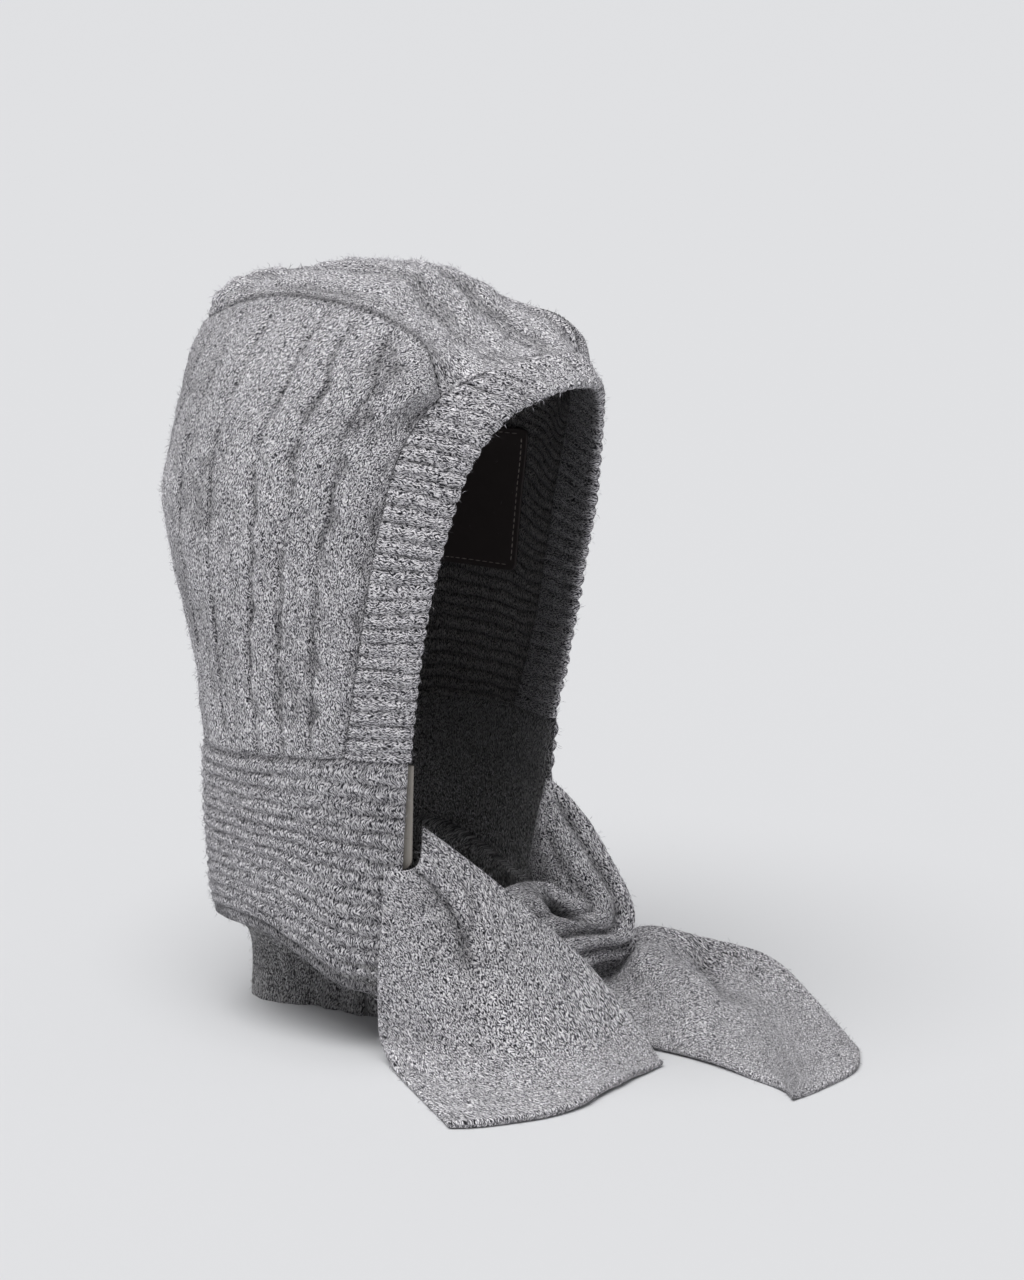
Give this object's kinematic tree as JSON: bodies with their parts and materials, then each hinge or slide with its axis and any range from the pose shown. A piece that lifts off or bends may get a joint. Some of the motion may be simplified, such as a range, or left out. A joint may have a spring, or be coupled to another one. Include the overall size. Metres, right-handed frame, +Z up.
{
  "type": "snood hood",
  "caption": "Free-standing knitted wool hood with a ribbed face band, ridged collar and two scarf ends crossed in front.",
  "frame": {"origin": "middle of the floor plan, on the floor the hood stands on", "axes": "+Z up, face opening toward -Y, the wearer's right at -X"},
  "size_m": [0.2858, 0.386, 0.404],
  "materials": {
    "grey_marl_knit": "brushed cable knit in grey marl wool",
    "ribbed_knit": "doubled rib knit in grey marl wool",
    "inner_knit": "plain knit in grey marl wool, in shade",
    "dark_patch": "smooth dark patch with a stitched border",
    "pale_tape": "pale grey-beige tape"
  },
  "bodies": {
    "root": {"side_panel_right": "grey_marl_knit", "side_panel_left": "grey_marl_knit", "top_panel": "grey_marl_knit", "face_band": "ribbed_knit", "neck_band": "grey_marl_knit", "neck_turn_under": "inner_knit", "scarf_end_right": "grey_marl_knit", "scarf_end_left": "grey_marl_knit", "inner_patch": "dark_patch", "edge_tab": "pale_tape"}
  },
  "joints": []
}
